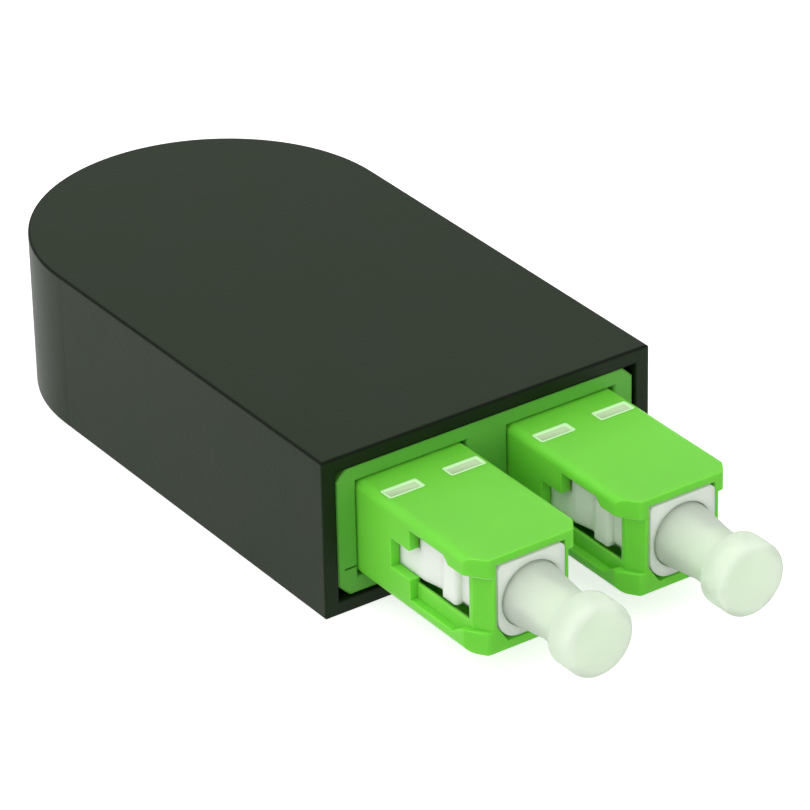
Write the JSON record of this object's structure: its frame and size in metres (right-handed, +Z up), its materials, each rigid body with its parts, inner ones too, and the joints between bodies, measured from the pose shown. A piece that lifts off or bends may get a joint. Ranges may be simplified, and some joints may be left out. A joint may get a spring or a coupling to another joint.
{
  "type": "fibre loopback adapter",
  "caption": "Black D-shaped case with a pair of green push-pull fibre plugs joined by an internal fibre turn, each plug under a pull-off dust cap.",
  "frame": {"origin": "centre of the case's flat underside, midway between its mouth and its round end", "axes": "+Z up, -Y the way the plugs point, X across the pair of plugs"},
  "size_m": [0.0276, 0.0694, 0.0124],
  "materials": {
    "case_plastic": "satin black moulded plastic",
    "green_plastic": "semi-gloss green moulded plastic",
    "white_plastic": "smooth white moulded plastic",
    "ceramic": "polished white ceramic",
    "plated_metal": "nickel-plated turned metal",
    "spring_steel": "drawn spring wire",
    "boot_rubber": "soft green moulded boot",
    "cap_plastic": "milky soft plastic",
    "fibre_jacket": "smooth yellow jacket"
  },
  "bodies": {
    "root": {"case": "case_plastic", "front_frame": "green_plastic", "left_outer_housing": "green_plastic", "right_outer_housing": "green_plastic", "fibre_loop": "fibre_jacket"},
    "left_plug": {"left_plug_frame": "white_plastic", "left_stop_ring": "white_plastic", "left_boot": "boot_rubber", "left_spring": "spring_steel"},
    "right_plug": {"right_plug_frame": "white_plastic", "right_stop_ring": "white_plastic", "right_boot": "boot_rubber", "right_spring": "spring_steel"},
    "left_ferrule_unit": {"left_ferrule": "ceramic", "left_ferrule_flange": "plated_metal", "left_guide_tube": "white_plastic"},
    "right_ferrule_unit": {"right_ferrule": "ceramic", "right_ferrule_flange": "plated_metal", "right_guide_tube": "white_plastic"},
    "left_cap": {"left_dust_cap": "cap_plastic"},
    "right_cap": {"right_dust_cap": "cap_plastic"}
  },
  "joints": [
    {"name": "left_plug_slide", "type": "slide", "parent": "root", "child": "left_plug", "axis": [0, -1, 0], "range_m": [0, 0.0012]},
    {"name": "right_plug_slide", "type": "slide", "parent": "root", "child": "right_plug", "axis": [0, -1, 0], "range_m": [0, 0.0012]},
    {"name": "left_ferrule_press", "type": "slide", "parent": "left_plug", "child": "left_ferrule_unit", "axis": [0, 1, 0], "range_m": [0, 0.001], "stiffness_N_per_m": 60, "springref_m": -0.0002, "deforming": ["left_spring"]},
    {"name": "right_ferrule_press", "type": "slide", "parent": "right_plug", "child": "right_ferrule_unit", "axis": [0, 1, 0], "range_m": [0, 0.001], "stiffness_N_per_m": 60, "springref_m": -0.0002, "deforming": ["right_spring"]},
    {"name": "left_cap_pull", "type": "slide", "parent": "left_ferrule_unit", "child": "left_cap", "axis": [0, -1, 0], "range_m": [0, 0.008]},
    {"name": "right_cap_pull", "type": "slide", "parent": "right_ferrule_unit", "child": "right_cap", "axis": [0, -1, 0], "range_m": [0, 0.008]}
  ]
}
